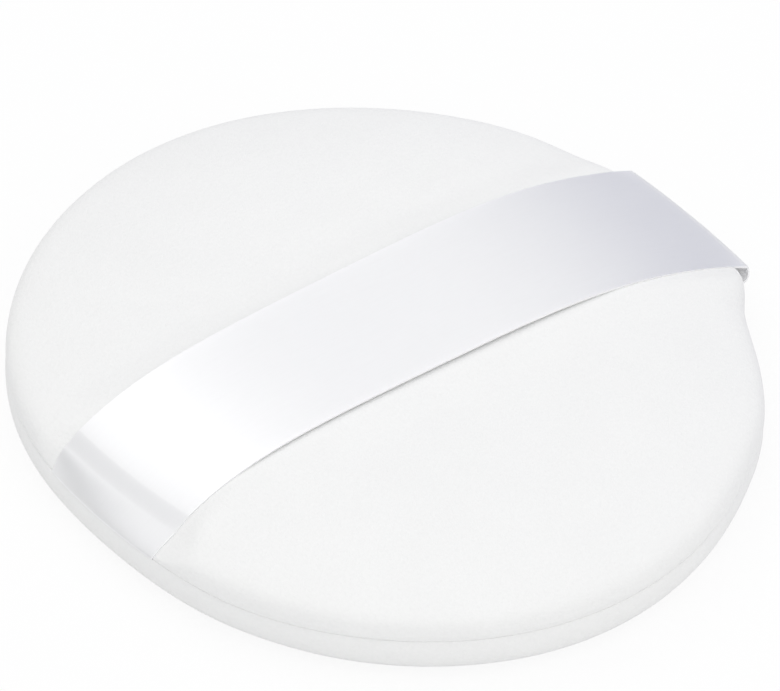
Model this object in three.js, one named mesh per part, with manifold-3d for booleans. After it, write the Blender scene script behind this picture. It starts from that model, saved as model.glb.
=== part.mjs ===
// A round powder puff: two cotton velour panels sewn together over a foam disc and turned right side out,
// with a satin ribbon across the back whose ends are caught in the rim seam.
// Millimetres. X runs along the ribbon, Z points up, and the pad rests face down on Z = 0.

import * as THREE from "three";
import { mergeVertices } from "three/addons/utils/BufferGeometryUtils.js";
import Module from "manifold-3d";

// Pad
const padWidth = 86; // across the ribbon
const padLength = 82; // along the ribbon, before its sewn ends draw the rim in
const nearPull = 1.7; // how far the ribbon's near end draws the rim in
const farPull = 0.7; // the same at its folded end
const pullSpread = 26; // degrees of rim over which each pull fades
const seamHeight = 4.7; // rim seam above the surface that the pad rests on
const seamDepth = 0.8; // crease of the seam behind the rim's fullest line
const bulgeRise = 2.15; // fullest line of each panel, above or below the seam
const shoulderWidth = 4.8; // from the fullest line in to the crest of the rim
const shoulderRise = 4.7; // crest of the back panel's rim above the seam
const crownRise = 3; // middle of the back above that crest
const crownFullness = 3; // power of the fall from the middle to the crest, where 2 is a plain dome
const rimFullness = 0.6; // roundness of the rim, as the share of each side that its curve bears on

// Cloth, foam and thread
const clothThickness = 1.2;
const seamAllowance = 4; // cloth turned in behind the seam
const foamEase = 0.8; // softened edge of the foam disc
const threadThickness = 0.3;
const stitchInset = 0.9; // seam stitches behind the crease
const turningGap = 32; // length of seam left open to turn the cover, then closed by hand
const turningMiddle = 90; // its place round the rim, in degrees from +X
const clearance = 0.3; // between pieces that touch

// Ribbon
const ribbonWidth = 19;
const ribbonThickness = 0.4;
const ribbonTail = 3.4; // length caught behind the seam
const tackInset = 2.4; // row of tacking stitches behind the crease
const tackMargin = 1.5; // from each end of that row to the ribbon's edge
const fingerGap = 1.1; // under the middle of the ribbon
const rollReach = 1.6; // fullness of the roll over the rim at the near end
const foldReach = 2.4; // fold beyond the rim at the far end
const foldRise = 2.8; // fold above the seam
const nearLead = 14.5; // length over which the ribbon climbs from the near crease
const farLead = 11; // length over which it drops to the far fold
const nearSplit = 0.02; // shares of the free stretch where the lifting band starts and ends
const farSplit = 0.9;

// Mesh density
const padSides = 48;
const threadSides = 6;
const threadSteps = 72;

const wasm = await Module();
wasm.setup();

const velour = new THREE.MeshStandardMaterial({ color: 0xf1f1f0, roughness: 0.95, metalness: 0 });
const satin = new THREE.MeshStandardMaterial({ color: 0xf2f3f6, roughness: 0.35, metalness: 0 });
const foam = new THREE.MeshStandardMaterial({ color: 0xf3efe2, roughness: 0.9, metalness: 0 });
const cotton = new THREE.MeshStandardMaterial({ color: 0xf4f4f2, roughness: 0.8, metalness: 0 });

const halfGap = clearance / 2;
const threadRise = halfGap + clothThickness + clearance + threadThickness / 2;
const nearRim = rimRadius(Math.PI);
const farRim = rimRadius(0);
const nearSeam = nearRim - seamDepth;
const farSeam = farRim - seamDepth;

// Plan of the pad: an oval, drawn in where the ribbon is sewn.
function rimRadius(angle) {
  const oval = padWidth / 2 - ((padWidth - padLength) / 2) * Math.cos(angle) ** 2;
  const fromRibbon = THREE.MathUtils.radToDeg(Math.asin(Math.abs(Math.sin(angle))));
  const pull = Math.cos(angle) < 0 ? nearPull : farPull;
  return oval - pull * Math.exp(-((fromRibbon / pullSpread) ** 2));
}

// Rim of a panel from its fullest line to its crest, at a depth under the outer face.
function rimCurve(radius, crestRise, crown, depth) {
  const full = new THREE.Vector2(radius - depth, bulgeRise);
  const crest = new THREE.Vector2(radius - shoulderWidth, crestRise - depth);
  const slope = (crownFullness * crown) / crest.x;
  const reach = rimFullness * (full.x - crest.x);
  const rise = rimFullness * (crest.y - full.y);
  return new THREE.CubicBezierCurve(
    full,
    new THREE.Vector2(full.x, full.y + rise),
    new THREE.Vector2(crest.x + reach, crest.y - slope * reach),
    crest,
  );
}

// Height over the seam of a domed face, at a share of the way from its middle to its crest.
function domeRise(share, crestRise, crown) {
  return crestRise + crown * (1 - share ** crownFullness);
}

// Section of a panel in radius and height over the seam: outer face, crease, allowance and inner face.
function panelSection(radius, crestRise, crown) {
  const seamRadius = radius - seamDepth;
  const dome = (share, depth) =>
    new THREE.Vector2(share * (radius - shoulderWidth), domeRise(share, crestRise, crown) - depth);
  const crease = new THREE.EllipseCurve(
    seamRadius,
    bulgeRise,
    seamDepth,
    bulgeRise - halfGap,
    0,
    -Math.PI / 2,
    true,
  );
  return [
    dome(0, 0),
    dome(0.45, 0),
    dome(0.8, 0),
    ...rimCurve(radius, crestRise, crown, 0).getPoints(5).reverse(),
    ...crease.getPoints(4).slice(1),
    new THREE.Vector2(seamRadius - seamAllowance, halfGap),
    new THREE.Vector2(seamRadius - seamAllowance, halfGap + clothThickness),
    new THREE.Vector2(radius - clothThickness, halfGap + clothThickness),
    ...rimCurve(radius, crestRise, crown, clothThickness).getPoints(3),
    dome(0.6, clothThickness),
    dome(0, clothThickness),
  ];
}

// Section of the foam disc, which fills the cover inside the allowances.
function foamSection(radius) {
  const edge = radius - seamDepth - seamAllowance - clearance;
  const cover = clothThickness + clearance;
  const bottom = cover - seamHeight;
  const top = (reach) =>
    domeRise(reach / (radius - shoulderWidth), shoulderRise, crownRise) - cover;
  const easedEdge = edge - foamEase;
  return [
    new THREE.Vector2(0, top(0)),
    new THREE.Vector2(easedEdge * 0.45, top(easedEdge * 0.45)),
    new THREE.Vector2(easedEdge * 0.8, top(easedEdge * 0.8)),
    new THREE.Vector2(easedEdge, top(easedEdge)),
    new THREE.Vector2(edge, top(edge) - foamEase),
    new THREE.Vector2(edge, bottom + foamEase),
    new THREE.Vector2(easedEdge, bottom),
    new THREE.Vector2(0, bottom),
  ];
}

// Closed body whose section starts and ends on the axis and follows the rim round the pad.
// A side of 1 builds it above the seam, and -1 mirrors it below.
function roundPad(sectionAt, side) {
  const points = [];
  const faces = [];
  const sections = [];
  for (let turn = 0; turn < padSides; turn += 1) {
    const angle = (turn / padSides) * 2 * Math.PI;
    const section = sectionAt(rimRadius(angle));
    sections.push(section);
    for (const { x, y } of section.slice(1, -1)) {
      points.push(x * Math.cos(angle), x * Math.sin(angle), seamHeight + side * y);
    }
  }
  const onRing = sections[0].length - 2;
  const start = padSides * onRing;
  points.push(0, 0, seamHeight + side * sections[0][0].y);
  points.push(0, 0, seamHeight + side * sections[0].at(-1).y);
  const triangle = (a, b, c) => faces.push(...(side > 0 ? [a, b, c] : [a, c, b]));
  for (let turn = 0; turn < padSides; turn += 1) {
    const here = turn * onRing;
    const next = ((turn + 1) % padSides) * onRing;
    triangle(start, here, next);
    for (let i = 0; i < onRing - 1; i += 1) {
      triangle(here + i, here + i + 1, next + i + 1);
      triangle(here + i, next + i + 1, next + i);
    }
    triangle(here + onRing - 1, start + 1, next + onRing - 1);
  }
  return bodyFrom(points, faces);
}

function bodyFrom(points, faces) {
  const geometry = new THREE.BufferGeometry();
  geometry.setAttribute("position", new THREE.Float32BufferAttribute(points, 3));
  geometry.setIndex(faces);
  geometry.computeVertexNormals();
  return geometry;
}

function solidFrom(geometry) {
  const bare = geometry.clone();
  bare.deleteAttribute("normal");
  bare.deleteAttribute("uv");
  const merged = mergeVertices(bare);
  return new wasm.Manifold(
    new wasm.Mesh({
      numProp: 3,
      vertProperties: merged.attributes.position.array,
      triVerts: new Uint32Array(merged.index.array),
    }),
  );
}

// Slots where the ribbon's two ends pass between the panels.
function cutRibbonSlots(geometry) {
  const length = seamDepth + ribbonTail + 2 * clearance;
  const height = ribbonThickness + 2 * clearance;
  const middleInset = length / 2 - clearance;
  let solid = solidFrom(geometry);
  for (const middle of [middleInset - nearRim, farRim - middleInset]) {
    const slot = new THREE.BoxGeometry(length, ribbonWidth + 2 * clearance, height);
    slot.translate(middle, 0, seamHeight);
    solid = solid.subtract(solidFrom(slot));
  }
  const mesh = solid.getMesh();
  return bodyFrom(Array.from(mesh.vertProperties), Array.from(mesh.triVerts));
}

// Line of stitches that follows the rim behind the seam's crease, between two angles.
class StitchLine extends THREE.Curve {
  constructor(from, to, height) {
    super();
    this.from = from;
    this.to = to;
    this.height = height;
  }

  getPoint(share, target = new THREE.Vector3()) {
    const angle = THREE.MathUtils.lerp(this.from, this.to, share);
    const radius = rimRadius(angle) - seamDepth - stitchInset;
    return target.set(radius * Math.cos(angle), radius * Math.sin(angle), this.height);
  }
}

function rimThread(from, to, side, steps) {
  const section = new THREE.Shape().absarc(0, 0, threadThickness / 2, 0, 2 * Math.PI);
  const line = new StitchLine(from, to, seamHeight + side * threadRise);
  return new THREE.ExtrudeGeometry(section, {
    extrudePath: line,
    steps,
    curveSegments: threadSides,
  });
}

// Row of tacking stitches across one end of the ribbon.
function tackThread(along) {
  const radius = threadThickness / 2;
  const row = new THREE.CylinderGeometry(radius, radius, ribbonWidth - 2 * tackMargin, threadSides);
  row.translate(along, 0, seamHeight + threadRise);
  return row;
}

// Side view of the ribbon's middle line, in X and height over the seam.
const creaseRise = shoulderRise + clearance + ribbonThickness / 2;
const crease = new THREE.Vector2(shoulderWidth - nearRim, creaseRise);
const fold = new THREE.Vector2(farRim + foldReach, foldRise);
const middleRise = domeRise(0, shoulderRise, crownRise) + fingerGap + ribbonThickness / 2;
const archRise = (8 * middleRise - crease.y - fold.y) / 6; // a cubic curve peaks near its middle
const nearRoll = new THREE.CubicBezierCurve(
  new THREE.Vector2(-nearSeam, 0),
  new THREE.Vector2(-nearRim - rollReach, 0),
  new THREE.Vector2(-nearRim - rollReach, creaseRise),
  crease,
);
const freeStretch = new THREE.CubicBezierCurve(
  crease,
  new THREE.Vector2(crease.x + nearLead, archRise),
  new THREE.Vector2(fold.x - farLead, archRise),
  fold,
);
const farLeg = new THREE.CubicBezierCurve(
  fold,
  new THREE.Vector2(fold.x, fold.y / 2),
  new THREE.Vector2((fold.x + farRim) / 2, 0),
  new THREE.Vector2(farSeam, 0),
);

// Points along the free stretch between two shares of its length.
function stretchPoints(from, to, count) {
  const points = [];
  for (let i = 0; i <= count; i += 1) {
    points.push(freeStretch.getPointAt(THREE.MathUtils.lerp(from, to, i / count)));
  }
  return points;
}

// Strip of ribbon along a middle line.
function ribbonStrip(line) {
  const above = [];
  const below = [];
  line.forEach((point, i) => {
    const before = line[Math.max(i - 1, 0)];
    const after = line[Math.min(i + 1, line.length - 1)];
    const way = after.clone().sub(before).normalize();
    const out = new THREE.Vector2(-way.y, way.x).multiplyScalar(ribbonThickness / 2);
    above.push(point.clone().add(out));
    below.unshift(point.clone().sub(out));
  });
  const strip = new THREE.ExtrudeGeometry(new THREE.Shape([...above, ...below]), {
    depth: ribbonWidth,
    bevelEnabled: false,
  });
  strip.rotateX(Math.PI / 2);
  strip.translate(0, ribbonWidth / 2, seamHeight);
  return strip;
}

const splitShare = clearance / freeStretch.getLength();
const nearEnd = [
  new THREE.Vector2(ribbonTail - nearSeam, 0),
  ...nearRoll.getPoints(10),
  ...stretchPoints(0, nearSplit, 1).slice(1),
];
const band = stretchPoints(nearSplit + splitShare, farSplit - splitShare, 24);
const farEnd = [
  ...stretchPoints(farSplit, 1, 4),
  ...farLeg.getPoints(6).slice(1),
  new THREE.Vector2(farSeam - ribbonTail, 0),
];

const gapMiddle = THREE.MathUtils.degToRad(turningMiddle);
const gapHalf = turningGap / 2 / (rimRadius(gapMiddle) - seamDepth);
const threadEnd = clearance / rimRadius(gapMiddle);
const seamStart = gapMiddle + gapHalf;
const seamEnd = gapMiddle - gapHalf + 2 * Math.PI;
const closingStart = gapMiddle - gapHalf + threadEnd;
const closingEnd = gapMiddle + gapHalf - threadEnd;
const closingSteps = Math.ceil((threadSteps * gapHalf) / Math.PI);

const backPanel = roundPad((radius) => panelSection(radius, shoulderRise, crownRise), 1);
const facePanel = roundPad((radius) => panelSection(radius, seamHeight, 0), -1);

const puff = new THREE.Group();
function addPiece(name, geometry, material) {
  const mesh = new THREE.Mesh(geometry, material);
  mesh.name = name;
  puff.add(mesh);
}

addPiece("back_panel", cutRibbonSlots(backPanel), velour);
addPiece("face_panel", cutRibbonSlots(facePanel), velour);
addPiece("foam_core", roundPad(foamSection, 1), foam);
addPiece("ribbon_near_end", ribbonStrip(nearEnd), satin);
addPiece("ribbon_band", ribbonStrip(band), satin);
addPiece("ribbon_far_end", ribbonStrip(farEnd), satin);
addPiece("seam_needle_thread", rimThread(seamStart, seamEnd, 1, threadSteps), cotton);
addPiece("seam_bobbin_thread", rimThread(seamStart, seamEnd, -1, threadSteps), cotton);
addPiece("closing_thread", rimThread(closingStart, closingEnd, 1, closingSteps), cotton);
addPiece("near_tack_thread", tackThread(tackInset - nearSeam), cotton);
addPiece("far_tack_thread", tackThread(farSeam - tackInset), cotton);

export default puff;
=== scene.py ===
import math

import bmesh
import bpy
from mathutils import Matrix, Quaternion, Vector, noise


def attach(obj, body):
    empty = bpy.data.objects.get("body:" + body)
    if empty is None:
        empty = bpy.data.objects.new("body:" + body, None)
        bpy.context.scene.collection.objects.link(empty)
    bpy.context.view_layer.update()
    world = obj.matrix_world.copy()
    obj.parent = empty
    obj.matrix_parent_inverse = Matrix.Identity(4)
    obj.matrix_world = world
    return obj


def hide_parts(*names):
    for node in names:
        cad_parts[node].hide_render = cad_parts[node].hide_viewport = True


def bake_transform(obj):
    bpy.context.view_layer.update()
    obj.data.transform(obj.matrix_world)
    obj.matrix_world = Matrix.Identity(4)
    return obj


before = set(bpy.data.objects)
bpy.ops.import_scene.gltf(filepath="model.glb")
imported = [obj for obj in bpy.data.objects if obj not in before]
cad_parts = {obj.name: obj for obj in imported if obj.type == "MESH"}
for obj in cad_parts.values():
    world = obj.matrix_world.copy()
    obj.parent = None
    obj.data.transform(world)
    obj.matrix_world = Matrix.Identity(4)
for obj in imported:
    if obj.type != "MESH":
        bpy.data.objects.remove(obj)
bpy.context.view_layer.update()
mm = 0.001

# Foam core
# A disc of soft polyurethane foam, die-cut from sheet, so its edge is straight and its cells open.
# It sits loose inside the cover, pressed to the crown of the back, with its cut corners rubbed soft.
pad_width = 86 * mm
pad_length = 82 * mm
near_pull = 1.7 * mm  # how far the ribbon's near end draws the rim in
near_pull_at = 180  # places and spreads round the rim are in degrees
near_spread = 26
fold_pull = 0.5 * mm  # how far the ribbon's far fold draws the rim in on each side of it
fold_pull_at = (21, -27)
fold_slack = 0.4 * mm  # fullness of the rim beyond that
fold_slack_at = -47
fold_spread = 8
hand_cut = 0.26 * mm  # unevenness of the rim, from cutting and turning by hand
three_lobe_turn = math.radians(46)  # its three wide lobes and four narrower ones
four_lobe_turn = math.radians(-22)
seam_height = 4.7 * mm
shoulder_width = 4.8 * mm
shoulder_rise = 5.25 * mm  # height of the crest of the rim over the seam
crown_rise = 2.85 * mm  # height of the middle of the back over that crest
crown_fullness = 4  # power of the fall from the middle to the crest: 2 is a plain dome
foam_inset = 5.6 * mm
foam_cover = 1.7 * mm  # cloth and ease over the foam
foam_crest = 0.98  # how far out the foam follows the crown, as a share of the way to the crest
foam_corner = 0.8 * mm
foam_turns = 96
weld = 0.01 * mm  # points closer than this are one


def round_rim(angle, centre, spread, power=2):
    """1 at a centre round the rim, falling to 0 beyond a spread, both in degrees."""
    turn = (math.degrees(angle) - centre + 180) % 360 - 180
    return math.exp(-((turn / spread) ** power))


def rim_reach(angle):
    """How far the rim lies from the middle: an uneven oval, drawn in by both ends of the ribbon."""
    oval = pad_width / 2 - (pad_width - pad_length) / 2 * math.cos(angle) ** 2
    oval -= near_pull * round_rim(angle, near_pull_at, near_spread)
    oval += fold_slack * round_rim(angle, fold_slack_at, fold_spread)
    for pulled in fold_pull_at:
        oval -= fold_pull * round_rim(angle, pulled, fold_spread)
    uneven = math.cos(3 * angle - three_lobe_turn) + math.cos(4 * angle - four_lobe_turn)
    return oval + hand_cut * uneven


def crown_height(share):
    """Height of the back over the seam, by share of the way from the middle to the rim's crest."""
    return shoulder_rise + crown_rise * (1 - share**crown_fullness)


def linear(colour):
    """An sRGB hex colour as linear numbers."""
    parts = [int(colour[i : i + 2], 16) / 255 for i in (1, 3, 5)]
    return [p / 12.92 if p <= 0.04045 else ((p + 0.055) / 1.055) ** 2.4 for p in parts] + [1]


def add_node(tree, kind, settings=None, links=None):
    """Adds a node, sets its properties and sockets, and links its inputs to other nodes."""
    node = tree.nodes.new(kind)
    for name, value in (settings or {}).items():
        if isinstance(name, int) or name in node.inputs:
            node.inputs[name].default_value = value
        else:
            setattr(node, name, value)
    for name, source in (links or {}).items():
        tree.links.new(source, node.inputs[name])
    return node


def new_finish(name):
    """An empty material with its node tree."""
    finish = bpy.data.materials.new(name)
    finish.use_nodes = True
    finish.node_tree.nodes.clear()
    return finish, finish.node_tree


def make_piece(name, shape, finish):
    """An object from a bmesh, in one finish and with smooth shading."""
    mesh = bpy.data.meshes.new(name)
    shape.to_mesh(mesh)
    shape.free()
    mesh.materials.append(finish)
    mesh.shade_smooth()
    piece = bpy.data.objects.new(name, mesh)
    bpy.context.collection.objects.link(piece)
    return piece


# Polyurethane foam, blown and cut: open cells give a matt, pitted, faintly creamy face.
# Real cells are about 0.4 mm wide and are drawn at 0.7 mm so that they show.
foam_cell = 0.7 * mm
foam_finish, tree = new_finish("polyurethane_foam")
spot = add_node(tree, "ShaderNodeTexCoord").outputs["Object"]
cells = add_node(
    tree, "ShaderNodeTexVoronoi", {"Scale": 1 / foam_cell, "feature": "F1"}, {"Vector": spot}
).outputs["Distance"]
# The middle of each cell, where the bump sinks a pit, is painted darker: painted shade in the pits.
# The creamy tone is the foam's own.
tone = add_node(
    tree,
    "ShaderNodeMix",
    {"data_type": "RGBA", 6: linear("#e6dfcb"), 7: linear("#f4f0e3")},
    {"Factor": cells},
).outputs[2]
pits = add_node(
    tree, "ShaderNodeBump", {"Strength": 0.6, "Distance": 0.2 * mm}, {"Height": cells}
).outputs["Normal"]
surface = add_node(
    tree,
    "ShaderNodeBsdfPrincipled",
    {"Roughness": 0.92, "IOR": 1.45, "Specular IOR Level": 0.2},
    {"Base Color": tone, "Normal": pits},
).outputs["BSDF"]
add_node(tree, "ShaderNodeOutputMaterial", links={"Surface": surface})

foam = bmesh.new()
foam_reach = pad_width / 2 - foam_inset
top_shares = (0, 0.25, 0.5, 0.75, 1)
bottom_shares = (1, 0.5, 0)
foam_side = [
    (foam_reach * s, seam_height + crown_height(foam_crest * s) - foam_cover) for s in top_shares
]
foam_side += [(foam_reach * s, foam_cover) for s in bottom_shares]
profile = [foam.verts.new((reach, 0, height)) for reach, height in foam_side]
for a, b in zip(profile, profile[1:]):
    foam.edges.new((a, b))
bmesh.ops.spin(
    foam,
    geom=foam.verts[:] + foam.edges[:],
    cent=(0, 0, 0),
    axis=(0, 0, 1),
    angle=2 * math.pi,
    steps=foam_turns,
    use_merge=True,
)
bmesh.ops.remove_doubles(foam, verts=foam.verts[:], dist=weld)
bmesh.ops.recalc_face_normals(foam, faces=foam.faces[:])
cut_edges = [
    e
    for e in foam.edges
    if all(v.co.xy.length > foam_reach - weld for v in e.verts)
    and abs(e.verts[0].co.z - e.verts[1].co.z) < weld
]
bmesh.ops.bevel(
    foam,
    geom=cut_edges,
    offset=foam_corner,
    offset_type="OFFSET",
    affect="EDGES",
    segments=3,
    profile=0.5,
    material=-1,
)
for v in foam.verts:
    angle = math.atan2(v.co.y, v.co.x)
    v.co.xy *= (rim_reach(angle) - foam_inset) / foam_reach
foam_disc = make_piece("foam_disc", foam, foam_finish)
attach(foam_disc, "pad")
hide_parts("foam_core")

# Velour cover
# Two rounds of white cotton velour, sewn face to face, turned over the foam and closed by hand.
# Each bulges over the rim and dips into the seam, with its allowance turned in behind the stitches.
at_crest, at_fullest, at_seam = 1, 2, 3  # stations from 0, the middle of a round, to its cut edge at 4
seam_depth = 0.4 * mm
near_ease = 0.4  # share of that depth lost where the ribbon's near end fills the seam
near_ease_at = 183  # degrees of rim, as for the other places and spreads round it
near_ease_spread = 22
face_shoulder = 3.4 * mm
bulge_rise = 1.5 * mm  # height of the fullest line over the seam
rim_fullness = 0.64  # roundness of the rim from the crest to the fullest line
roll_rise = 0.55  # where the rim rolls in towards the seam, as a share of the bulge's height
lip_rise = 0.25  # the same for the lip of the seam
lip_depth = 0.45  # place of that lip, as a share of the seam's depth
seam_gap = 0.01 * mm  # half of the gap between the two rounds where they are sewn
ribbon_gap = 0.14 * mm  # the same where the ribbon passes between them
gap_fade = 0.6 * mm  # beside the ribbon
fold_fill = 1.4 * mm  # how far the back's rim fills out into the ribbon's far fold
fold_fill_at = -11
fold_fill_spread = 9
fold_fill_fade = (0.2, 1)  # stations on each side of the fullest line
seam_lift = 0.8 * mm  # how far the ribbon's near end draws the seam up
seam_lift_at = 190
seam_lift_spread = 22
front_lift = 0.8 * mm  # how far the seam rides up along the front of the rim
front_lift_at = 250
front_lift_spread = 45
lift_joining = 4  # power that joins the two lifts; the higher, the less they add up
lift_fade = (1.2, 2.7)  # stations between which the rim takes up the seam's lift
cloth_thickness = 1.2 * mm
seam_pinch = 0.6  # share of the thickness left where the pile is squeezed in the seam
seam_pinch_at = 2.8  # stations
seam_pinch_fade = (0.1, 0.4)
ribbon_squeeze = 0.45  # the same where the ribbon is drawn tight over the near rim
squeeze_fade = 3 * mm  # beside the ribbon
squeeze_ends = (-33 * mm, -28 * mm)  # along the ribbon
seam_allowance = 4 * mm
middle_squares = 56
middle_reach = 0.87  # half width of the squares in the middle, on a round of 1
middle_share = 0.55  # share of the way to the crest that they take up
middle_rounding = 0.55  # how far they have turned circular there
dome_rings, rim_rings, crease_rings, allowance_rings = 14, 8, 6, 3
slack_rise = 0.93  # height of the unfilled cover, as a share of the filled one
slack_inset = 0.05 * mm
swell_frames = 20
swell_limit = 0.7 * mm
sewn_from = 2.8  # station past which the stitches hold the cloth
pucker = 0.12 * mm
pucker_gap = 5 * mm
pucker_at = 2.5
pucker_fade = (0.1, 0.5)
dimple = 0.1 * mm
dimple_gap = 16 * mm
dimple_fade = (1.6, 2.4)
ribbon_lie = 5 * mm  # how far beside the ribbon the back still lies as it does under it
ribbon_width = 19 * mm
gather = 1.4 * mm  # how far one edge of the ribbon is drawn in at the near end


def fade(value, inner, outer):
    """1 up to the inner value, falling smoothly to 0 at the outer one."""
    share = min(max((outer - value) / (outer - inner), 0), 1)
    return share * share * (3 - 2 * share)


def bezier(corners, share):
    """Point on a cubic curve."""
    a, b, c, d = (Vector(p) for p in corners)
    rest = 1 - share
    return a * rest**3 + b * 3 * rest**2 * share + c * 3 * rest * share**2 + d * share**3


def cover_point(angle, reach, station, form):
    """Radius and height over the seam, by station. The form is the height of the crest over the seam,
    the height of the crown over the crest, and the width of the shoulder."""
    crest_rise, crown, shoulder = form
    crest = reach - shoulder
    if station <= at_crest:
        return Vector((crest * station, crest_rise + crown * (1 - station**crown_fullness)))
    if station <= at_fullest:
        inward = rim_fullness * shoulder
        upward = rim_fullness * (crest_rise - bulge_rise)
        slope = crown_fullness * crown / crest
        start = (crest, crest_rise)
        over = (crest + inward, crest_rise - slope * inward)
        corners = [start, over, (reach, bulge_rise + upward), (reach, bulge_rise)]
        return bezier(corners, station - at_crest)
    depth = seam_depth_at(angle)
    full = (reach, bulge_rise)
    roll = (reach, bulge_rise * roll_rise)
    lip = (reach - depth * lip_depth, bulge_rise * lip_rise)
    sewn = (reach - depth, half_gap_at(angle))
    dip = bezier([full, roll, lip, sewn], min(station - at_fullest, 1))
    return dip - Vector((seam_allowance * max(station - at_seam, 0), 0))


def seam_rise(angle):
    """Height of the seam, which rides up at the front of the rim and by the ribbon's near end."""
    by_ribbon = seam_lift * round_rim(angle, seam_lift_at, seam_lift_spread)
    by_front = front_lift * round_rim(angle, front_lift_at, front_lift_spread)
    return seam_height + (by_ribbon**lift_joining + by_front**lift_joining) ** (1 / lift_joining)


def seam_depth_at(angle):
    """How far the seam lies in from the fullest line of the rim."""
    return seam_depth * (1 - near_ease * round_rim(angle, near_ease_at, near_ease_spread))


def beside_ribbon(place):
    """How far a place lies outside the ribbon's edges, in Y; less than 0 under the ribbon."""
    drawn = gather if place.x < 0 else 0
    return abs(place.y + drawn / 2) - (ribbon_width - drawn) / 2


def squeezed(place):
    """Share of the cloth's thickness left where the ribbon is drawn tight over the near rim."""
    tight = fade(beside_ribbon(place), 0, squeeze_fade) * fade(place.x, *squeeze_ends)
    return 1 - (1 - ribbon_squeeze) * tight


def half_gap_at(angle):
    """Half of the gap between the two rounds at the seam."""
    outside = beside_ribbon(rim_reach(angle) * Vector((math.cos(angle), math.sin(angle))))
    return seam_gap + (ribbon_gap - seam_gap) * fade(outside, 0, gap_fade)


def cover_place(angle, station, side, form, slack):
    """A point of a velour round, over the seam for a side of 1 and under it for -1.
    A slack of 0 is the filled cover, and 1 is the cover before it is filled."""
    free = slack * max(0, 1 - max(station - at_fullest, 0))
    reach = rim_reach(angle) - slack_inset * free
    radius, height = cover_point(angle, reach, station, form)
    height *= 1 - (1 - slack_rise) * free
    if side > 0:
        into_fold = round_rim(angle, fold_fill_at, fold_fill_spread, power=4)
        radius += fold_fill * into_fold * fade(abs(station - at_fullest), *fold_fill_fade)
    base = seam_rise(angle) + (seam_height - seam_rise(angle)) * fade(station, *lift_fade)
    return Vector((radius * math.cos(angle), radius * math.sin(angle), base + side * height))


def cut_round():
    """A flat round of cloth: squares in the middle, and rings of edges round them."""
    cut = bmesh.new()
    bmesh.ops.create_grid(cut, x_segments=middle_squares, y_segments=middle_squares, size=1)
    edge = [e for e in cut.edges if e.is_boundary]
    for ring in range(1, 1 + dome_rings + rim_rings + crease_rings + allowance_rings):
        grown = bmesh.ops.extrude_edge_only(cut, edges=edge)["geom"]
        corners = [g for g in grown if isinstance(g, bmesh.types.BMVert)]
        edge = [g for g in grown if isinstance(g, bmesh.types.BMEdge) and g.is_boundary]
        bmesh.ops.scale(cut, vec=Vector((1, 1, 1)) * (ring + 1) / ring, verts=corners)
    return cut


def round_place(flat):
    """Angle and station of a point on the flat round, whose squares turn circular outwards."""
    ring = max(abs(flat.x), abs(flat.y))
    if ring == 0:
        return 0, 0
    if abs(flat.x) >= abs(flat.y):
        angle = math.pi / 4 * flat.y / flat.x + (math.pi if flat.x < 0 else 0)
    else:
        angle = math.copysign(math.pi / 2, flat.y) - math.pi / 4 * flat.x / flat.y
    outer = ring - 1
    if outer < dome_rings:
        grown = max(outer, 0) / dome_rings
        rounding = middle_rounding * min(ring, 1) ** 2 + (1 - middle_rounding) * grown
        share = middle_share * min(ring, 1) + (1 - middle_share) * grown
        square = flat.xy / ring * middle_reach
        circle = Vector((math.cos(angle), math.sin(angle)))
        place = share * square.lerp(circle, rounding)
        return math.atan2(place.y, place.x), place.length
    past_dome = outer - dome_rings
    if past_dome < rim_rings:
        return angle, at_crest + past_dome / rim_rings
    past_rim = past_dome - rim_rings
    if past_rim < crease_rings:
        return angle, at_fullest + past_rim / crease_rings
    return angle, at_seam + (past_rim - crease_rings) / allowance_rings


def swell(skin, sewn):
    """Fills a round by cloth simulation: pressure inside, a held seam, and a limit to each move."""
    held = skin.vertex_groups.new(name="sewn")
    held.add(sewn, 1, "REPLACE")
    start = [v.co.copy() for v in skin.data.vertices]
    cloth = skin.modifiers.new("filling", "CLOTH")
    cloth.settings.vertex_group_mass = held.name
    cloth.settings.quality = 6
    cloth.settings.mass = 0.05
    cloth.settings.tension_stiffness = 20
    cloth.settings.compression_stiffness = 20
    cloth.settings.shear_stiffness = 8
    cloth.settings.bending_stiffness = 2
    cloth.settings.use_pressure = True
    cloth.settings.uniform_pressure_force = 4
    cloth.settings.effector_weights.gravity = 0
    cloth.point_cache.frame_start = 1
    cloth.point_cache.frame_end = swell_frames
    for moment in range(1, swell_frames + 1):
        bpy.context.scene.frame_set(moment)
    filled = skin.evaluated_get(bpy.context.evaluated_depsgraph_get()).data
    moves = [after.co - before for after, before in zip(filled.vertices, start)]
    skin.modifiers.remove(cloth)
    skin.vertex_groups.remove(held)
    bpy.context.scene.frame_set(1)
    for v, before, move in zip(skin.data.vertices, start, moves):
        if move.length > swell_limit:
            move *= swell_limit / move.length
        v.co = before + move


# Cotton velour: a knitted ground with a cut pile that scatters light, matt and soft at its edges.
# Real tufts are about 0.2 mm apart and are drawn at 0.4 mm to show. Hands leave the pile lying
# unevenly, and where it lies otherwise it is painted a little darker in patches: painted shade for the
# way pile laid another way turns from the light.
tuft = 0.4 * mm
nap_shade_patch = 7 * mm
velour, tree = new_finish("cotton_velour")
spot = add_node(tree, "ShaderNodeTexCoord").outputs["Object"]
pile = add_node(
    tree, "ShaderNodeTexNoise", {"Scale": 1 / tuft, "Detail": 2.5, "Roughness": 0.6}, {"Vector": spot}
).outputs["Fac"]
nap_shade_mask = add_node(
    tree,
    "ShaderNodeTexNoise",
    {"Scale": 1 / nap_shade_patch, "Detail": 2, "Roughness": 0.5},
    {"Vector": spot},
).outputs["Fac"]
tips = add_node(
    tree,
    "ShaderNodeMix",
    {"data_type": "RGBA", 6: linear("#f3f3f2"), 7: linear("#f9f9f8")},
    {"Factor": pile},
).outputs[2]
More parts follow.
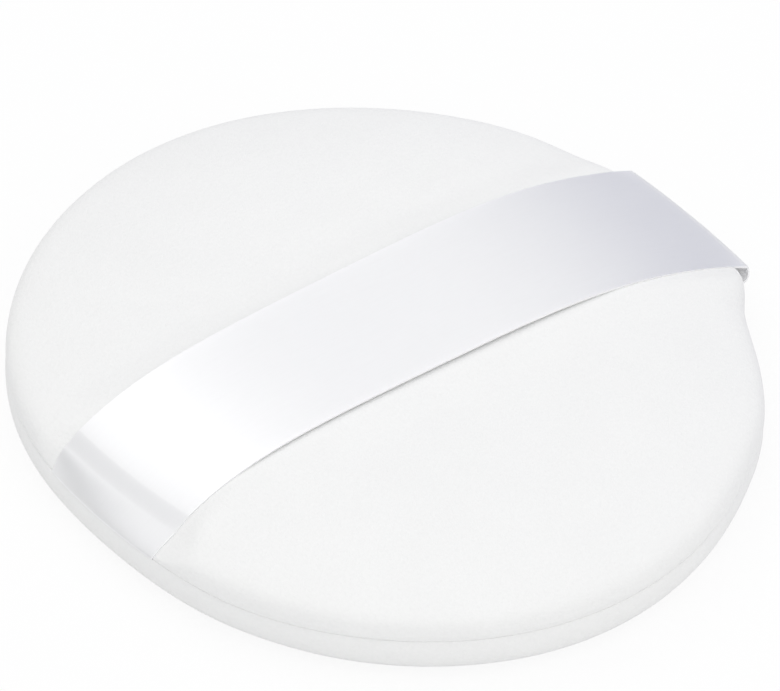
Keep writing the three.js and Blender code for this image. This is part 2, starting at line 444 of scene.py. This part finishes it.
# painted shade: patches of the pile that lies otherwise are darkened a quarter of the way towards
# #f2f2f2
painted_nap_shade = add_node(
    tree,
    "ShaderNodeMix",
    {"data_type": "RGBA", "blend_type": "MULTIPLY", 0: 0.25, 7: linear("#f2f2f2")},
    {6: tips},
)
pile_with_nap_shade = add_node(
    tree,
    "ShaderNodeMix",
    {"data_type": "RGBA"},
    {"Factor": nap_shade_mask, 6: painted_nap_shade.outputs[2], 7: tips},
).outputs[2]
fibres = add_node(
    tree, "ShaderNodeBump", {"Strength": 0.5, "Distance": 0.15 * mm}, {"Height": pile}
).outputs["Normal"]
surface = add_node(
    tree,
    "ShaderNodeBsdfPrincipled",
    {
        "Roughness": 0.95,
        "IOR": 1.5,
        "Specular IOR Level": 0.2,
        "Sheen Weight": 0.04,
        "Sheen Roughness": 0.5,
    },
    {"Base Color": pile_with_nap_shade, "Normal": fibres},
).outputs["BSDF"]
add_node(tree, "ShaderNodeOutputMaterial", links={"Surface": surface})


def under_ribbon(point):
    """1 where the ribbon lies on the back or close over it, fading to 0 beside it."""
    return fade(beside_ribbon(point), 0, ribbon_lie)


def make_cover(name, side, form):
    """One velour round, cut, filled by simulation and turned in along the seam."""
    cut = cut_round()
    places = [round_place(v.co) for v in cut.verts]
    filled = [cover_place(angle, station, side, form, 0) for angle, station in places]
    for v, (angle, station), full in zip(cut.verts, places, filled):
        v.co = cover_place(angle, station, side, form, 1)
    bmesh.ops.recalc_face_normals(cut, faces=cut.faces[:])
    if cut.faces[0].normal.z * side < 0:
        bmesh.ops.reverse_faces(cut, faces=cut.faces[:])
    sharp = cut.edges.layers.float.new("crease_edge")
    for e in cut.edges:
        if all(math.isclose(places[v.index][1], at_seam, abs_tol=0.01) for v in e.verts):
            e[sharp] = 1
    cover = make_piece(name, cut, velour)
    swell(cover, [i for i, (angle, station) in enumerate(places) if station > sewn_from])
    thickness = cover.vertex_groups.new(name="cloth")
    outward = [v.normal.copy() for v in cover.data.vertices]
    for v, (angle, station), full, out in zip(cover.data.vertices, places, filled, outward):
        if side > 0:
            v.co = v.co.lerp(full, under_ribbon(full))
        gathered = pucker * noise.noise(full.xy.to_3d() / pucker_gap)
        gathered *= fade(abs(station - pucker_at), *pucker_fade)
        worn = dimple * noise.noise(full / dimple_gap) * fade(station, *dimple_fade)
        v.co += out * (gathered + worn)
        v.co.z = max(v.co.z, 0)
        pinched = 1 - (1 - seam_pinch) * fade(abs(station - seam_pinch_at), *seam_pinch_fade)
        thickness.add([v.index], pinched * squeezed(full), "REPLACE")
    wall = cover.modifiers.new("cloth", "SOLIDIFY")
    wall.thickness = cloth_thickness
    wall.offset = -1
    wall.vertex_group = thickness.name
    finer = cover.modifiers.new("finer", "SUBSURF")
    finer.levels = 1
    finer.render_levels = 1
    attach(cover, "pad")
    return cover


back_cover = make_cover("back_cover", 1, (shoulder_rise, crown_rise, shoulder_width))
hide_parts("back_panel")
face_cover = make_cover("face_cover", -1, (seam_height, 0, face_shoulder))
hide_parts("face_panel")

# Ribbon
# One length of white polyester satin ribbon, 19 mm wide, both ends caught in the rim seam.
# It is drawn tight over the near rim, climbs a step, arches over the back and folds at the far end.
ribbon_thickness = 0.24 * mm
ribbon_tail = 3.4 * mm
ribbon_shift = 0.5 * mm  # middle of the ribbon beside the middle of the pad
gather_end = 27 * mm  # where the edge that is drawn in runs straight again
step_at = -35.2 * mm  # top of the step where the ribbon drops behind the near rim
step_skew = 1.9 * mm  # further in at one edge of the ribbon than at the other
step_top = 4.5 * mm
step_run = 1.85 * mm
step_drop = 1.5 * mm
seam_exit = (0.3 * mm, 0.5 * mm)  # along and up, as the ribbon leaves the near seam
foot_bend = 1.2 * mm  # length of the bend into the foot of the step
step_bend = 0.5 * mm  # the same for the two bends of the step itself
ramp_slope = math.radians(33)
climb_slope = math.radians(30)
arch_rise = 8.5 * mm
arch_middle = 5 * mm  # where the arch is highest, along the ribbon
near_fullness = 5.2  # power of the fall from there to the step
far_fullness = 2.8  # the same to the fold
fold_reach = 1 * mm  # past the rim
fold_rise = 1.85 * mm
fold_sag = 2.4 * mm  # how far the fold hangs under the seam
fold_skew = 0.85 * mm  # how far one edge of the ribbon folds past its middle
fold_twist = 0.65 * mm  # the same, upwards
fold_bow = 0.4 * mm
fold_bulge = 0.8 * mm  # outwards, just under the fold
fold_drop = 1.6 * mm  # and how far under it that is
leg_inset = 0.3 * mm  # inwards, where the fold hangs lowest
press_reach = 4 * mm  # how far beside the ribbon the pile is drawn down with it
press_slope = 0.3
edge_grip = 0.1 * mm  # how far the pile stands up along the ribbon's edges
edge_grip_fade = 1.2 * mm
edge_grip_ends = (30 * mm, 34 * mm)  # towards the near end
pile_gap = 0.04 * mm  # between the pressed pile and the ribbon
tail_steps, ramp_steps, step_steps, arch_steps, leg_steps, ribbon_rows = 6, 24, 16, 120, 18, 32


def ribbon_edge(across, along):
    """Y of the ribbon at a share across its width, from -1 to 1. One edge is drawn in."""
    drawn = gather * min(max((gather_end - along) / (gather_end - step_at), 0), 1)
    aside = ribbon_shift * max(0, 1 - (along / step_at) ** 2)
    return aside + across * ribbon_width / 2 - drawn * (1 + across) / 2


def ribbon_line(across):
    """The ribbon's run in X and height over the seam, at a share across its width from -1 to 1."""
    near_angle = math.pi - math.asin(ribbon_edge(across, step_at) / rim_reach(math.pi))
    near_rim = -rim_reach(near_angle) * math.cos(near_angle)
    far_angle = math.asin(ribbon_edge(across, gather_end) / rim_reach(0))
    far_rim = rim_reach(far_angle) * math.cos(far_angle)
    climb = Vector((step_at + step_skew * ((1 - across) / 2) ** 2, step_top))
    foot = climb - Vector((step_run, step_drop))
    fold_x = rim_reach(0) + fold_reach - fold_skew * across + fold_bow * (1 - across**2)
    fold = Vector((fold_x, fold_rise + fold_twist * across))

    def on_arch(along):
        if along < arch_middle:
            share = (arch_middle - along) / (arch_middle - climb.x)
            return Vector((along, arch_rise - (arch_rise - climb.y) * share**near_fullness))
        share = (along - arch_middle) / (fold.x - arch_middle)
        return Vector((along, arch_rise - (arch_rise - fold.y) * share**far_fullness))

    near_seam = Vector((seam_depth_at(near_angle) - near_rim, seam_rise(near_angle) - seam_height))
    line = [near_seam + Vector((ribbon_tail * (1 - i / tail_steps), 0)) for i in range(tail_steps)]
    ramp_way = Vector((math.cos(ramp_slope), math.sin(ramp_slope)))
    climb_way = Vector((math.cos(climb_slope), math.sin(climb_slope)))
    ramp = [near_seam, near_seam + Vector(seam_exit), foot - ramp_way * foot_bend, foot]
    line += [bezier(ramp, i / ramp_steps) for i in range(ramp_steps)]
    step = [foot, foot + ramp_way * step_bend, climb - climb_way * step_bend, climb]
    line += [bezier(step, i / step_steps) for i in range(step_steps)]
    line += [on_arch(climb.x + (fold.x - climb.x) * i / arch_steps) for i in range(arch_steps)]
    far_seam = far_rim - seam_depth_at(far_angle)
    turned = (fold.x + fold_bulge, fold.y - fold_drop)
    hanging = (fold.x - leg_inset, -fold_sag)
    leg = [fold, turned, hanging, (far_seam, 0)]
    line += [bezier(leg, i / leg_steps) for i in range(leg_steps)]
    line += [Vector((far_seam - ribbon_tail * i / tail_steps, 0)) for i in range(tail_steps + 1)]
    return line


def press_pile(cover):
    """Presses the pile down to the ribbon's underside, and slopes it up again beside the ribbon."""
    for v in cover.data.vertices:
        beside = beside_ribbon(v.co)
        if beside > press_reach:
            continue
        drawn = gather if v.co.x < 0 else 0
        share = min(max((v.co.y + drawn / 2) / ((ribbon_width - drawn) / 2), -1), 1)
        line = lines[round((share + 1) / 2 * ribbon_rows)]
        spot = Vector((v.co.x, v.co.z - seam_height))
        step = min(range(1, ribbon_steps), key=lambda i: (line[i] - spot).length_squared)
        ahead = (line[step + 1] - line[step - 1]).normalized()
        outward = Vector((-ahead.y, ahead.x))
        grip = edge_grip * fade(abs(beside), 0, edge_grip_fade) * fade(-v.co.x, *edge_grip_ends)
        under = ribbon_thickness / 2 + pile_gap - grip - press_slope * max(beside, 0)
        proud = (spot - line[step]).dot(outward) + under
        if proud > 0:
            v.co -= proud * Vector((outward.x, 0, outward.y))


lines = [ribbon_line(2 * row / ribbon_rows - 1) for row in range(ribbon_rows + 1)]
ribbon_steps = len(lines[0]) - 1
press_pile(back_cover)
middle_line = lines[ribbon_rows // 2]
lengths = [0]
for a, b in zip(middle_line, middle_line[1:]):
    lengths.append(lengths[-1] + (b - a).length)

# Polyester satin: long floats of bright filament lie along the ribbon, so about a third of the light
# leaves as a gloss that is tight along the ribbon and wide across it.
# Real floats are 0.1 mm apart and are drawn at 0.25 mm so that they show.
float_gap = 0.25 * mm
float_length = 4 * mm
polyester_body = {
    "IOR": 1.58,
    "Subsurface Weight": 0.55,
    "Subsurface Radius": (1, 1, 1),
    "Subsurface Scale": 0.6 * mm,
}
satin, tree = new_finish("polyester_satin")
cloth_map = add_node(tree, "ShaderNodeUVMap", {"uv_map": "weave"}).outputs["UV"]
stretched = add_node(
    tree, "ShaderNodeMapping", {"Scale": (1 / float_length, 1 / float_gap, 1)}, {"Vector": cloth_map}
).outputs["Vector"]
floats = add_node(
    tree, "ShaderNodeTexNoise", {"Scale": 1, "Detail": 2, "Roughness": 0.5}, {"Vector": stretched}
).outputs["Fac"]
tone = add_node(
    tree,
    "ShaderNodeMix",
    {"data_type": "RGBA", 6: linear("#fbfbfc"), 7: linear("#fefeff")},
    {"Factor": floats},
).outputs[2]
weave = add_node(
    tree, "ShaderNodeBump", {"Strength": 0.12, "Distance": 0.03 * mm}, {"Height": floats}
).outputs["Normal"]
across_way = add_node(tree, "ShaderNodeTangent", {"direction_type": "UV_MAP", "uv_map": "weave"})
surface = add_node(
    tree,
    "ShaderNodeBsdfPrincipled",
    {
        **polyester_body,
        "Metallic": 0.38,
        "Roughness": 0.48,
        "Anisotropic": 0.4,
        "Anisotropic Rotation": 0.25,
    },
    {"Base Color": tone, "Normal": weave, "Tangent": across_way.outputs["Tangent"]},
).outputs["BSDF"]
add_node(tree, "ShaderNodeOutputMaterial", links={"Surface": surface})

# Back of the satin: the short cross threads lie on top there, so it is dull and an even white.
pick_length = 1 * mm
satin_back, tree = new_finish("polyester_satin_back")
cloth_map = add_node(tree, "ShaderNodeUVMap", {"uv_map": "weave"}).outputs["UV"]
turned = add_node(
    tree, "ShaderNodeMapping", {"Scale": (1 / float_gap, 1 / pick_length, 1)}, {"Vector": cloth_map}
).outputs["Vector"]
picks = add_node(
    tree, "ShaderNodeTexNoise", {"Scale": 1, "Detail": 2, "Roughness": 0.5}, {"Vector": turned}
).outputs["Fac"]
tone = add_node(
    tree,
    "ShaderNodeMix",
    {"data_type": "RGBA", 6: linear("#f7f7f8"), 7: linear("#fcfcfd")},
    {"Factor": picks},
).outputs[2]
ribs = add_node(
    tree, "ShaderNodeBump", {"Strength": 0.15, "Distance": 0.03 * mm}, {"Height": picks}
).outputs["Normal"]
surface = add_node(
    tree,
    "ShaderNodeBsdfPrincipled",
    {**polyester_body, "Roughness": 0.75},
    {"Base Color": tone, "Normal": ribs},
).outputs["BSDF"]
add_node(tree, "ShaderNodeOutputMaterial", links={"Surface": surface})

strip = bmesh.new()
bmesh.ops.create_grid(strip, x_segments=ribbon_steps, y_segments=ribbon_rows, size=0.5)
weave_map = strip.loops.layers.uv.new("weave")
for face in strip.faces:
    for corner in face.loops:
        step = round((corner.vert.co.x + 0.5) * ribbon_steps)
        corner[weave_map].uv = (lengths[step], corner.vert.co.y * ribbon_width)
for v in strip.verts:
    step = round((v.co.x + 0.5) * ribbon_steps)
    row = round((v.co.y + 0.5) * ribbon_rows)
    along, height = lines[row][step]
    v.co = (along, ribbon_edge(2 * row / ribbon_rows - 1, along), seam_height + height)
bmesh.ops.recalc_face_normals(strip, faces=strip.faces[:])
ribbon = make_piece("ribbon", strip, satin)
ribbon.data.materials.append(satin_back)
wall = ribbon.modifiers.new("cloth", "SOLIDIFY")
wall.thickness = ribbon_thickness
wall.offset = 0
wall.material_offset = 1
selvedge = ribbon.modifiers.new("selvedge", "BEVEL")
selvedge.width = 0.08 * mm
selvedge.segments = 2
selvedge.limit_method = "ANGLE"
selvedge.angle_limit = math.radians(60)
selvedge.harden_normals = True
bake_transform(ribbon)
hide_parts("ribbon_near_end", "ribbon_band", "ribbon_far_end")

# Sewing threads
# White two-ply thread of spun polyester, behind the turned seam: a lockstitch round the rim, hand
# stitches across the gap it was turned through, and a row of tacking across each end of the ribbon.
thread_thickness = 0.3 * mm
thread_sides = 8
thread_step = 0.2 * mm
thread_weld = 0.001 * mm
ply_turn = 1.2 * mm  # length of one turn of the twist
ply_hollow = 0.22  # share of the radius lost between the plies
stitch_inset = 0.9 * mm
rim_stitch = 2.5 * mm
hand_stitch = 4 * mm
hand_dip = -0.5 * mm  # how far the hand stitches pass under the seam
tack_stitch = 2 * mm
tack_dip = -0.3 * mm
turning_gap = 32 * mm
tack_inset = 2.4 * mm
tack_length = 16 * mm

# Spun polyester: short fibres lie round the twist, dull white with a few that stand out from the ply.
# Real fibres are 0.015 mm thick and are drawn at 0.05 mm so that they show.
fibre = 0.05 * mm
fibre_length = 12 * fibre
fibre_slant = math.radians(38)
spun_thread, tree = new_finish("spun_polyester_thread")
thread_map = add_node(tree, "ShaderNodeUVMap", {"uv_map": "twist"}).outputs["UV"]
laid = add_node(
    tree,
    "ShaderNodeMapping",
    {"Rotation": (0, 0, fibre_slant), "Scale": (1 / fibre_length, 1 / fibre, 1)},
    {"Vector": thread_map},
).outputs["Vector"]
strands = add_node(
    tree, "ShaderNodeTexNoise", {"Scale": 1, "Detail": 2, "Roughness": 0.6}, {"Vector": laid}
).outputs["Fac"]
tone = add_node(
    tree,
    "ShaderNodeMix",
    {"data_type": "RGBA", 6: linear("#e9e9e6"), 7: linear("#f8f8f6")},
    {"Factor": strands},
).outputs[2]
fuzz = add_node(
    tree, "ShaderNodeBump", {"Strength": 0.5, "Distance": 0.03 * mm}, {"Height": strands}
).outputs["Normal"]
surface = add_node(
    tree,
    "ShaderNodeBsdfPrincipled",
    {"Roughness": 0.7, "IOR": 1.55, "Specular IOR Level": 0.35, "Sheen Weight": 0.1},
    {"Base Color": tone, "Normal": fuzz},
).outputs["BSDF"]
add_node(tree, "ShaderNodeOutputMaterial", links={"Surface": surface})


def sew(name, node, length, stitch, high, low, place):
    """A twisted thread along a row of stitches, high between the holes and low in them.
    The place function gives a point and the way across the row, by share of its length and height."""
    steps = round(length / thread_step)
    rises = [math.sqrt(abs(math.sin(math.pi * i * thread_step / stitch))) for i in range(steps + 1)]
    run = [place(i / steps, low + (high - low) * rises[i]) for i in range(steps + 1)]
    ply = bmesh.new()
    bmesh.ops.create_grid(ply, x_segments=steps, y_segments=thread_sides, size=0.5)
    twist_map = ply.loops.layers.uv.new("twist")
    for face in ply.faces:
        for corner in face.loops:
            along = (corner.vert.co.x + 0.5) * length
            corner[twist_map].uv = (along, (corner.vert.co.y + 0.5) * math.pi * thread_thickness)
    for v in ply.verts:
        step = round((v.co.x + 0.5) * steps)
        turn = (v.co.y + 0.5) * 2 * math.pi
        centre, aside = run[step]
        ahead = (run[min(step + 1, steps)][0] - run[max(step - 1, 0)][0]).normalized()
        upward = aside.cross(ahead).normalized()
        hollow = ply_hollow * math.cos(turn - math.pi * step * thread_step / ply_turn) ** 2
        reach = thread_thickness / 2 * (1 - hollow)
        v.co = centre + (aside * math.cos(turn) + upward * math.sin(turn)) * reach
    bmesh.ops.remove_doubles(ply, verts=ply.verts[:], dist=thread_weld)
    bmesh.ops.holes_fill(ply, edges=[e for e in ply.edges if e.is_boundary], sides=0)
    bmesh.ops.recalc_face_normals(ply, faces=ply.faces[:])
    thread = make_piece(name, ply, spun_thread)
    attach(thread, "pad")
    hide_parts(node)


def on_rim(first, last):
    """Places along the rim seam, between two angles."""

    def place(share, rise):
        angle = first + (last - first) * share
        outward = Vector((math.cos(angle), math.sin(angle), 0))
        point = outward * (rim_reach(angle) - seam_depth_at(angle) - stitch_inset)
        return point + Vector((0, 0, seam_rise(angle) + rise * squeezed(point))), outward

    return place


def on_tail(end):
    """Places across the ribbon's tail, at its near end for -1 and its far end for 1."""

    def place(share, rise):
        aside = tack_length * (share - 0.5)
        rim = rim_reach(0 if end > 0 else math.pi)
        angle = math.atan2(aside, end * rim)
        along = end * (rim - seam_depth_at(angle) - tack_inset)
        point = Vector((along, aside, seam_rise(angle)))
        return point + Vector((0, 0, rise * squeezed(point))), Vector((1, 0, 0))

    return place


thread_rise = seam_gap + cloth_thickness + thread_thickness / 2
tack_rise = ribbon_gap + cloth_thickness + thread_thickness / 2
rim_length = math.pi * (pad_width + pad_length) / 2
half_turning = math.pi * turning_gap / rim_length
sewn_round = on_rim(math.pi / 2 + half_turning, math.pi * 5 / 2 - half_turning)
sewn_length = rim_length - turning_gap
sew("needle_thread", "seam_needle_thread", sewn_length, rim_stitch, tack_rise, 0, sewn_round)
sew("bobbin_thread", "seam_bobbin_thread", sewn_length, rim_stitch, -tack_rise, 0, sewn_round)
closed_by_hand = on_rim(math.pi / 2 - half_turning, math.pi / 2 + half_turning)
sew("hand_thread", "closing_thread", turning_gap, hand_stitch, thread_rise, hand_dip, closed_by_hand)
sew("near_tacking", "near_tack_thread", tack_length, tack_stitch, tack_rise, tack_dip, on_tail(-1))
sew("far_tacking", "far_tack_thread", tack_length, tack_stitch, tack_rise, tack_dip, on_tail(1))

# Table and light
# A white table that runs on into the backdrop, under a wide overhead softbox in a pale room.
# The far side of the room is unlit, and the satin shows it as a cool shade.
table_size = 3.0  # metres
table_drop = 0.05 * mm  # keeps the table clear of the flat face that rests on it
table_glow = 0.9  # share of plain white in what is seen of the table; the rest takes the shadow
table = bmesh.new()
bmesh.ops.create_grid(table, x_segments=1, y_segments=1, size=table_size)
bmesh.ops.translate(table, verts=table.verts[:], vec=(0, 0, -table_drop))
white_table, tree = new_finish("white_table")
path = add_node(tree, "ShaderNodeLightPath")
seen = add_node(
    tree,
    "ShaderNodeMath",
    {"operation": "MAXIMUM"},
    {0: path.outputs["Is Camera Ray"], 1: path.outputs["Is Glossy Ray"]},
).outputs[0]
shown = add_node(
    tree,
    "ShaderNodeMath",
    {"operation": "MAXIMUM"},
    {0: seen, 1: path.outputs["Is Transmission Ray"]},
).outputs[0]
glow_share = add_node(
    tree, "ShaderNodeMath", {"operation": "MULTIPLY", 1: table_glow}, {0: shown}
).outputs[0]
paint = add_node(tree, "ShaderNodeBsdfDiffuse", {"Color": linear("#f7f7f7")}).outputs["BSDF"]
glow = add_node(
    tree, "ShaderNodeEmission", {"Color": linear("#ffffff"), "Strength": 1}
).outputs["Emission"]
surface = add_node(tree, "ShaderNodeMixShader", links={0: glow_share, 1: paint, 2: glow}).outputs[0]
add_node(tree, "ShaderNodeOutputMaterial", links={"Surface": surface})
table_top = make_piece("table_top", table, white_table)

room_light = (1.065, 1.065, 1.065, 1)
near_light = (1.02, 1.03, 1.05, 1)
unlit_light = (0.08, 0.1, 0.28, 1)
dim_behind = -0.78  # change of the light's level, low on the far side of the table
dim_before = -0.31  # the same, low on the near side
lift_before = 0.06  # the same, high on the near side
way_behind = (-0.4, 1, 0)  # direction of the far side
room = bpy.data.worlds.new("studio")
bpy.context.scene.world = room
room.use_nodes = True
tree = room.node_tree
tree.nodes.clear()
way = add_node(tree, "ShaderNodeTexCoord").outputs["Generated"]
parts = add_node(tree, "ShaderNodeSeparateXYZ", links={0: way}).outputs
backward = add_node(
    tree, "ShaderNodeVectorMath", {"operation": "DOT_PRODUCT", 1: way_behind}, {0: way}
).outputs["Value"]
# Each part of the room begins at the first value of the direction beside it and is full at the second.
room_parts = {
    "far end": (parts["X"], 0.5, 0.88),
    "near end": (parts["X"], -0.3, -0.8),
    "back half": (parts["Y"], -0.45, 0.3),
    "before": (parts["Y"], 0.3, -0.1),
    "behind": (backward, 0.3, 0.7),
    "slanting": (parts["Z"], 0.75, 0.2),
    "low": (parts["Z"], 0.6, 0.1),
    "high": (parts["Z"], 0.6, 0.9),
}
inside = {}
for part, (value, outer, inner) in room_parts.items():
    inside[part] = add_node(
        tree,
        "ShaderNodeMapRange",
        {"interpolation_type": "SMOOTHSTEP", "From Min": outer, "From Max": inner},
        {"Value": value},
    ).outputs[0]
for one, other in (
    ("far end", "back half"),
    ("behind", "slanting"),
    ("before", "low"),
    ("before", "high"),
):
    inside[one, other] = add_node(
        tree, "ShaderNodeMath", {"operation": "MULTIPLY"}, {0: inside[one], 1: inside[other]}
    ).outputs[0]
near_air = add_node(
    tree,
    "ShaderNodeMix",
    {"data_type": "RGBA", 6: room_light, 7: near_light},
    {"Factor": inside["near end"]},
).outputs[2]
air = add_node(
    tree,
    "ShaderNodeMix",
    {"data_type": "RGBA", 7: unlit_light},
    {"Factor": inside["far end", "back half"], 6: near_air},
).outputs[2]
level_behind = add_node(
    tree,
    "ShaderNodeMath",
    {"operation": "MULTIPLY_ADD", 1: dim_behind, 2: 1},
    {0: inside["behind", "slanting"]},
).outputs[0]
level_before = add_node(
    tree,
    "ShaderNodeMath",
    {"operation": "MULTIPLY_ADD", 1: dim_before},
    {0: inside["before", "low"], 2: level_behind},
).outputs[0]
level = add_node(
    tree,
    "ShaderNodeMath",
    {"operation": "MULTIPLY_ADD", 1: lift_before},
    {0: inside["before", "high"], 2: level_before},
).outputs[0]
back_light = add_node(tree, "ShaderNodeBackground", links={"Color": air, "Strength": level}).outputs[0]
add_node(tree, "ShaderNodeOutputWorld", links={"Surface": back_light})

softbox = bpy.data.lights.new("overhead_softbox", "AREA")
softbox.shape = "DISK"
softbox.size = 0.8
softbox.energy = 1.3
overhead = bpy.data.objects.new("overhead_softbox", softbox)
overhead.location = (-0.03, 0.66, 0.94)
overhead.rotation_mode = "QUATERNION"
overhead.rotation_quaternion = overhead.location.to_track_quat("Z", "Y")
bpy.context.collection.objects.link(overhead)

# Camera
# A long lens, 0.9 m from the pad, that looks down on it across the near end of the ribbon.
azimuth = math.radians(-38.92)
elevation = math.radians(42.375)
roll = math.radians(3)
distance = 0.9  # metres
frame_width = 780  # pixels
pixels_per_mm = 9.134
aim_right = 5.1 / pixels_per_mm * mm  # the pad stands 5.1 pixels left of the frame's middle
aim_up = 31.6 / pixels_per_mm * mm  # and 31.6 pixels under it
lens = bpy.data.cameras.new("camera")
lens.sensor_width = 36
lens.lens = lens.sensor_width * pixels_per_mm / mm * distance / frame_width
lens.clip_start = 0.05
camera = bpy.data.objects.new("camera", lens)
back = Vector(
    (
        math.sin(azimuth) * math.cos(elevation),
        -math.cos(azimuth) * math.cos(elevation),
        math.sin(elevation),
    )
)
turn = (-back).to_track_quat("-Z", "Y") @ Quaternion((0, 0, 1), roll)
camera.rotation_mode = "QUATERNION"
camera.rotation_quaternion = turn
camera.location = Vector((0, 0, seam_height)) + back * distance + turn @ Vector((aim_right, aim_up, 0))
bpy.context.collection.objects.link(camera)
bpy.context.scene.camera = camera
bpy.context.scene.view_settings.view_transform = "Standard"
